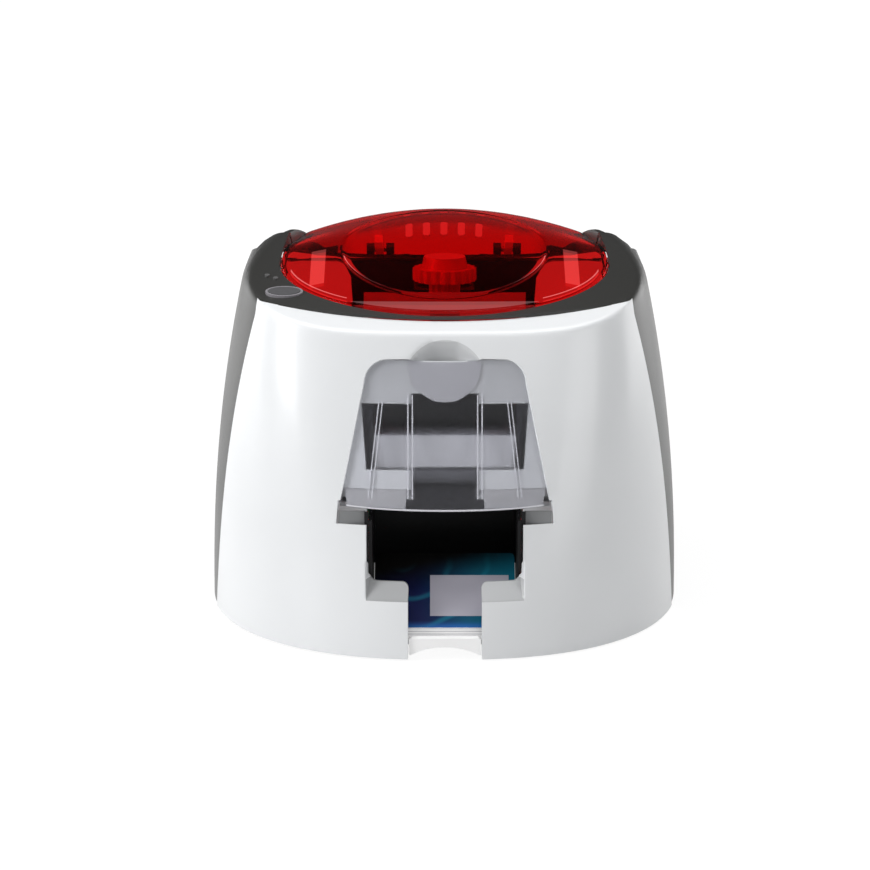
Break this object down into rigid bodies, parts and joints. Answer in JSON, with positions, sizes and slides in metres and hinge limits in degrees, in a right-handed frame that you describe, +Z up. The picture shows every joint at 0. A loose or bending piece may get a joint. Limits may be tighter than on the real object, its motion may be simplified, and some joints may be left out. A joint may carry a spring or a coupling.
{
  "type": "id card printer",
  "caption": "Compact desktop plastic card printer with a hinged clear red lid, a smoked front feeder flap and an open output tray.",
  "frame": {"origin": "on the table under the centre of the body", "axes": "+X to the right seen from the front, +Y to the rear, +Z up"},
  "size_m": [0.3022, 0.3779, 0.246],
  "materials": {
    "white_shell": "satin moulded",
    "charcoal": "fine moulded texture",
    "light_plastic": "moulded",
    "black_plastic": "moulded",
    "clear_red": "polished transparent red",
    "red_plastic": "moulded red",
    "smoked_clear": "smoked translucent",
    "rubber_black": "matt rubber",
    "steel_sheet": "zinc plated sheet",
    "steel_rod": "ground rod",
    "aluminium": "extruded",
    "acetal": "moulded acetal",
    "brass": "machined",
    "ribbon_black": "wound film",
    "circuit_board": "solder mask",
    "card_white": "laminated card",
    "card_print": "printed laminated card",
    "blue_tack": "soft silicone",
    "ceramic": "glazed ceramic",
    "motor_black": "black coated"
  },
  "bodies": {
    "housing": {"base_tray": "light_plastic", "rubber_feet": "rubber_black", "front_shell": "white_shell", "hood": "charcoal", "rear_cover": "charcoal", "hopper_box": "black_plastic", "output_tray": "white_shell", "feeder_bin": "light_plastic", "lid_hinge_pins": "steel_rod", "flap_pins": "black_plastic", "left_side_plate": "steel_sheet", "right_side_plate": "steel_sheet", "cross_bars": "steel_rod", "pick_belt": "rubber_black", "drive_motor": "motor_black", "motor_bracket": "steel_sheet", "print_head": "ceramic", "heat_sink": "aluminium", "head_bridge": "black_plastic", "ribbon_film": "ribbon_black", "fan_frame": "black_plastic", "fan_bracket": "steel_sheet", "main_board": "circuit_board", "usb_socket": "steel_sheet", "power_inlet": "black_plastic", "button_ring": "steel_rod", "button_switch": "circuit_board", "indicator_lights": "light_plastic", "blank_cards": "card_white", "printed_cards": "card_print", "cover_screws": "steel_rod"},
    "lid": {"lid": "clear_red", "lid_hinge_arms": "red_plastic", "lid_catch": "red_plastic"},
    "flap": {"feeder_flap": "smoked_clear"},
    "pick": {"pick_roller": "rubber_black"},
    "feed": {"feed_roller": "rubber_black"},
    "platen": {"platen_roller": "rubber_black"},
    "back_feed": {"back_feed_roller": "rubber_black"},
    "exit": {"exit_roller": "rubber_black"},
    "front_pinch": {"front_pinch_roller": "steel_rod"},
    "back_pinch": {"back_pinch_roller": "steel_rod"},
    "cleaner": {"cleaning_roller": "blue_tack"},
    "feed_idler": {"feed_idler_gear": "acetal"},
    "back_idler": {"back_idler_gear": "acetal"},
    "exit_idler": {"exit_idler_gear": "acetal"},
    "pinion": {"motor_pinion": "brass"},
    "knob": {"head_knob": "red_plastic"},
    "supply": {"supply_spool": "ribbon_black"},
    "takeup": {"takeup_spool": "ribbon_black"},
    "gate": {"card_gate": "black_plastic"},
    "fan": {"fan_rotor": "black_plastic"},
    "button": {"power_button": "light_plastic"}
  },
  "joints": [
    {"name": "lid_hinge", "type": "hinge", "parent": "housing", "child": "lid", "pos_m": [0, 0.111, 0.20438], "axis": [-1, 0, 0], "range_deg": [0, 49]},
    {"name": "flap_hinge", "type": "hinge", "parent": "housing", "child": "flap", "pos_m": [0, -0.16748, 0.096], "axis": [1, 0, 0], "range_deg": [0, 80]},
    {"name": "button_press", "type": "slide", "parent": "housing", "child": "button", "axis": [0, -0.258, 0.9662], "range_m": [-0.0008, 0], "stiffness_N_per_m": 400},
    {"name": "knob_turn", "type": "hinge", "parent": "housing", "child": "knob", "pos_m": [0, -0.058, 0.16], "axis": [0, 0, 1], "range_deg": [0, 90]},
    {"name": "platen_spin", "type": "hinge", "parent": "housing", "child": "platen", "pos_m": [0, -0.058, 0.1049], "axis": [1, 0, 0], "continuous": true},
    {"name": "feed_spin", "type": "hinge", "parent": "housing", "child": "feed", "pos_m": [0, -0.084, 0.1079], "axis": [1, 0, 0], "continuous": true},
    {"name": "back_feed_spin", "type": "hinge", "parent": "housing", "child": "back_feed", "pos_m": [0, -0.03, 0.1079], "axis": [1, 0, 0], "continuous": true},
    {"name": "exit_spin", "type": "hinge", "parent": "housing", "child": "exit", "pos_m": [0, -0.093, 0.084], "axis": [1, 0, 0], "continuous": true},
    {"name": "pick_spin", "type": "hinge", "parent": "housing", "child": "pick", "pos_m": [0, -0.12, 0.1067], "axis": [1, 0, 0], "continuous": true},
    {"name": "feed_idler_spin", "type": "hinge", "parent": "housing", "child": "feed_idler", "pos_m": [0, -0.07176, 0.11382], "axis": [1, 0, 0], "continuous": true},
    {"name": "back_idler_spin", "type": "hinge", "parent": "housing", "child": "back_idler", "pos_m": [0, -0.04306, 0.11168], "axis": [1, 0, 0], "continuous": true},
    {"name": "exit_idler_spin", "type": "hinge", "parent": "housing", "child": "exit_idler", "pos_m": [0, -0.09288, 0.0976], "axis": [1, 0, 0], "continuous": true},
    {"name": "pinion_spin", "type": "hinge", "parent": "housing", "child": "pinion", "pos_m": [0, -0.0476, 0.08689], "axis": [1, 0, 0], "continuous": true},
    {"name": "front_pinch_spin", "type": "hinge", "parent": "housing", "child": "front_pinch", "pos_m": [0, -0.084, 0.1199], "axis": [1, 0, 0], "continuous": true},
    {"name": "back_pinch_spin", "type": "hinge", "parent": "housing", "child": "back_pinch", "pos_m": [0, -0.03, 0.1199], "axis": [1, 0, 0], "continuous": true},
    {"name": "cleaner_spin", "type": "hinge", "parent": "housing", "child": "cleaner", "pos_m": [0, -0.096, 0.1199], "axis": [1, 0, 0], "continuous": true},
    {"name": "takeup_spin", "type": "hinge", "parent": "housing", "child": "takeup", "pos_m": [0, -0.018, 0.16], "axis": [1, 0, 0], "continuous": true},
    {"name": "supply_spin", "type": "hinge", "parent": "housing", "child": "supply", "pos_m": [0, -0.098, 0.16], "axis": [1, 0, 0], "continuous": true},
    {"name": "gate_tilt", "type": "hinge", "parent": "housing", "child": "gate", "pos_m": [0, -0.1015, 0.103], "axis": [1, 0, 0], "range_deg": [-15, 0]},
    {"name": "fan_spin", "type": "hinge", "parent": "housing", "child": "fan", "pos_m": [0, 0.068, 0.17598], "axis": [0, 0, 1], "continuous": true}
  ],
  "couplings": [
    {"joint": "feed_idler_spin", "follows": "platen_spin", "ratio": -1.05},
    {"joint": "back_idler_spin", "follows": "platen_spin", "ratio": -1.05},
    {"joint": "feed_spin", "follows": "platen_spin", "ratio": 1.5},
    {"joint": "back_feed_spin", "follows": "platen_spin", "ratio": 1.5},
    {"joint": "exit_idler_spin", "follows": "platen_spin", "ratio": -1.05},
    {"joint": "exit_spin", "follows": "platen_spin", "ratio": 1.5},
    {"joint": "pinion_spin", "follows": "platen_spin", "ratio": -3.3333},
    {"joint": "pick_spin", "follows": "platen_spin", "ratio": 1.5},
    {"joint": "takeup_spin", "follows": "supply_spin", "ratio": 1.3333}
  ]
}
